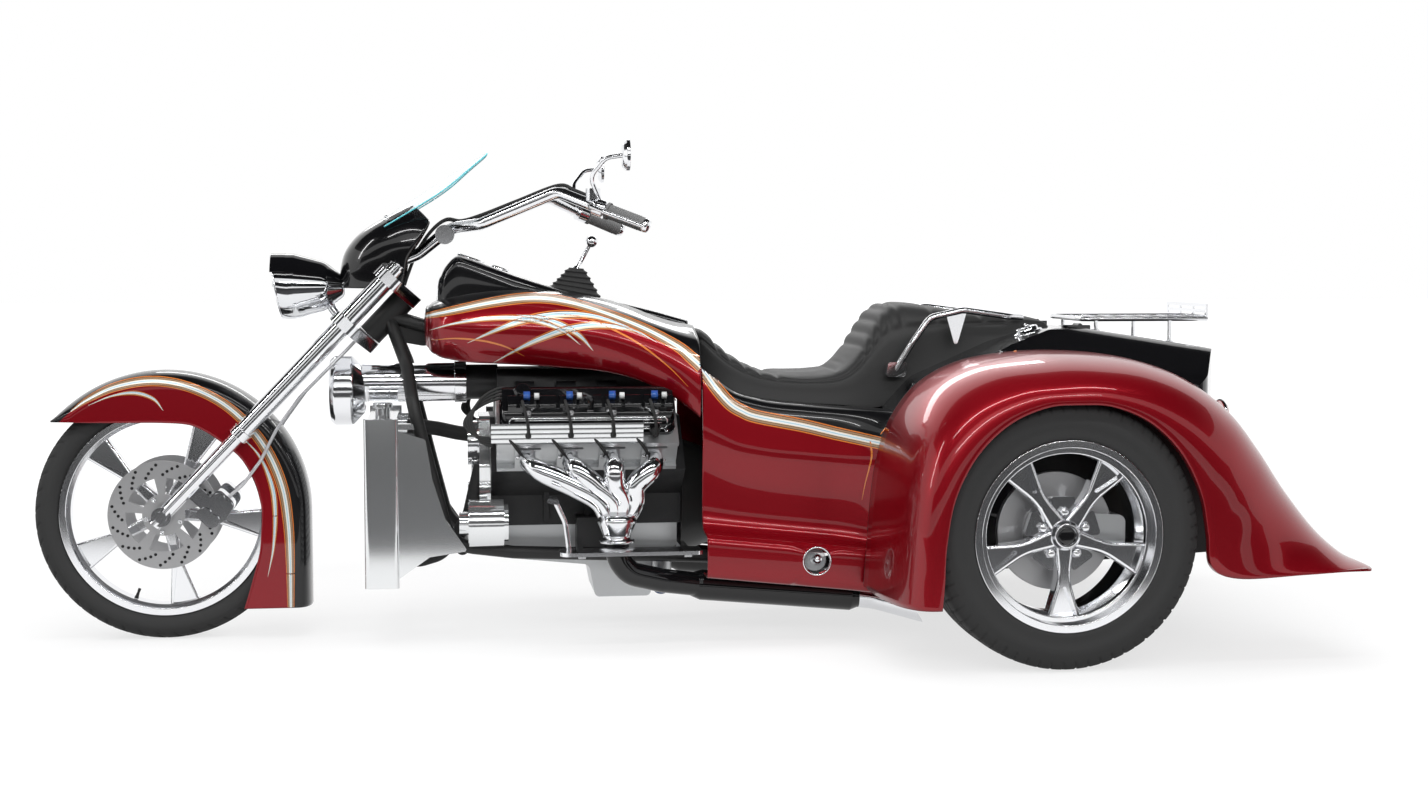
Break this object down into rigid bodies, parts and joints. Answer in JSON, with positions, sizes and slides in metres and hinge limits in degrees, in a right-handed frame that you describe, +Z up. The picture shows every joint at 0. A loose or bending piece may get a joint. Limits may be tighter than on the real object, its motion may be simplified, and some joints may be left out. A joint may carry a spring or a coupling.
{
  "type": "motorized trike",
  "caption": "Three-wheeled motorcycle with an open V8 engine, raked fork, two-up seat and a lidded boot between wide pontoon fenders.",
  "frame": {"origin": "on the floor, below the middle of the bounding box", "axes": "+Z up, front of the vehicle toward -X, its left side toward -Y"},
  "size_m": [3.4287, 1.676, 1.335],
  "materials": {
    "black_leather": "sewn, satin",
    "black_paint": "gloss black",
    "black_plastic": "moulded",
    "cast_aluminium": "as cast",
    "cast_iron": "black engine paint",
    "chrome": "mirror chrome plate",
    "clear_glass": "clear",
    "disc_steel": "ground steel",
    "frame_black": "satin black",
    "grip_rubber": "ribbed",
    "hose_rubber": "matte",
    "polished_aluminium": "polished",
    "red_lens": "moulded red lens",
    "red_paint": "metallic candy red under clear coat",
    "steel_braid": "braided steel",
    "tyre_rubber": "matte moulded rubber"
  },
  "bodies": {
    "chassis": {"accessory_drive": "polished_aluminium", "air_intake": "chrome", "body_tub": "red_paint", "coil_rails": "polished_aluminium", "console": "black_paint", "cylinder_heads": "cast_aluminium", "driveline": "frame_black", "engine_block": "cast_iron", "exhaust_headers": "chrome", "exhaust_system": "chrome", "fender_left": "red_paint", "fender_right": "red_paint", "floorboards": "chrome", "frame": "frame_black", "fuel_cap": "chrome", "grab_rails": "chrome", "intake_manifold": "black_plastic", "oil_pan": "cast_aluminium", "radiator": "polished_aluminium", "radiator_cowls": "polished_aluminium", "radiator_hoses": "hose_rubber", "rear_body": "black_paint", "rear_brakes": "cast_aluminium", "rear_suspension": "frame_black", "seat": "black_leather", "shifter": "hose_rubber", "side_lamps": "clear_glass", "tail_lamps": "red_lens", "tank": "red_paint", "valve_covers": "black_paint"},
    "fork": {"fork_legs": "chrome", "fork_trees": "chrome", "front_fender": "red_paint", "headlight_shell": "chrome", "headlight_lens": "clear_glass", "fork_cowl": "black_paint", "windscreen": "clear_glass", "handlebar": "chrome", "grips": "grip_rubber", "mirrors": "chrome", "brake_hoses": "steel_braid"},
    "front_wheel": {"front_tyre": "tyre_rubber", "front_rim": "chrome", "front_discs": "disc_steel"},
    "rear_wheel_left": {"rear_tyre_left": "tyre_rubber", "rear_rim_left": "chrome", "rear_disc_left": "disc_steel"},
    "rear_wheel_right": {"rear_tyre_right": "tyre_rubber", "rear_rim_right": "chrome", "rear_disc_right": "disc_steel"},
    "lid": {"trunk_lid": "black_paint", "luggage_rack": "chrome"}
  },
  "joints": [
    {"name": "steering", "type": "hinge", "parent": "chassis", "child": "fork", "pos_m": [-0.777, 0, 0.868], "axis": [0.6884, 0, 0.7254], "range_deg": [-30, 30]},
    {"name": "front_wheel_spin", "type": "hinge", "parent": "fork", "child": "front_wheel", "pos_m": [-1.37171, 0, 0.343], "axis": [0, 1, 0], "continuous": true},
    {"name": "rear_wheel_left_spin", "type": "hinge", "parent": "chassis", "child": "rear_wheel_left", "pos_m": [0.91, -0.685, 0.341], "axis": [0, 1, 0], "continuous": true},
    {"name": "rear_wheel_right_spin", "type": "hinge", "parent": "chassis", "child": "rear_wheel_right", "pos_m": [0.91, 0.685, 0.341], "axis": [0, 1, 0], "continuous": true},
    {"name": "trunk_lid_hinge", "type": "hinge", "parent": "chassis", "child": "lid", "pos_m": [1.12, 0, 0.845], "axis": [0, -1, 0], "range_deg": [0, 65]}
  ]
}
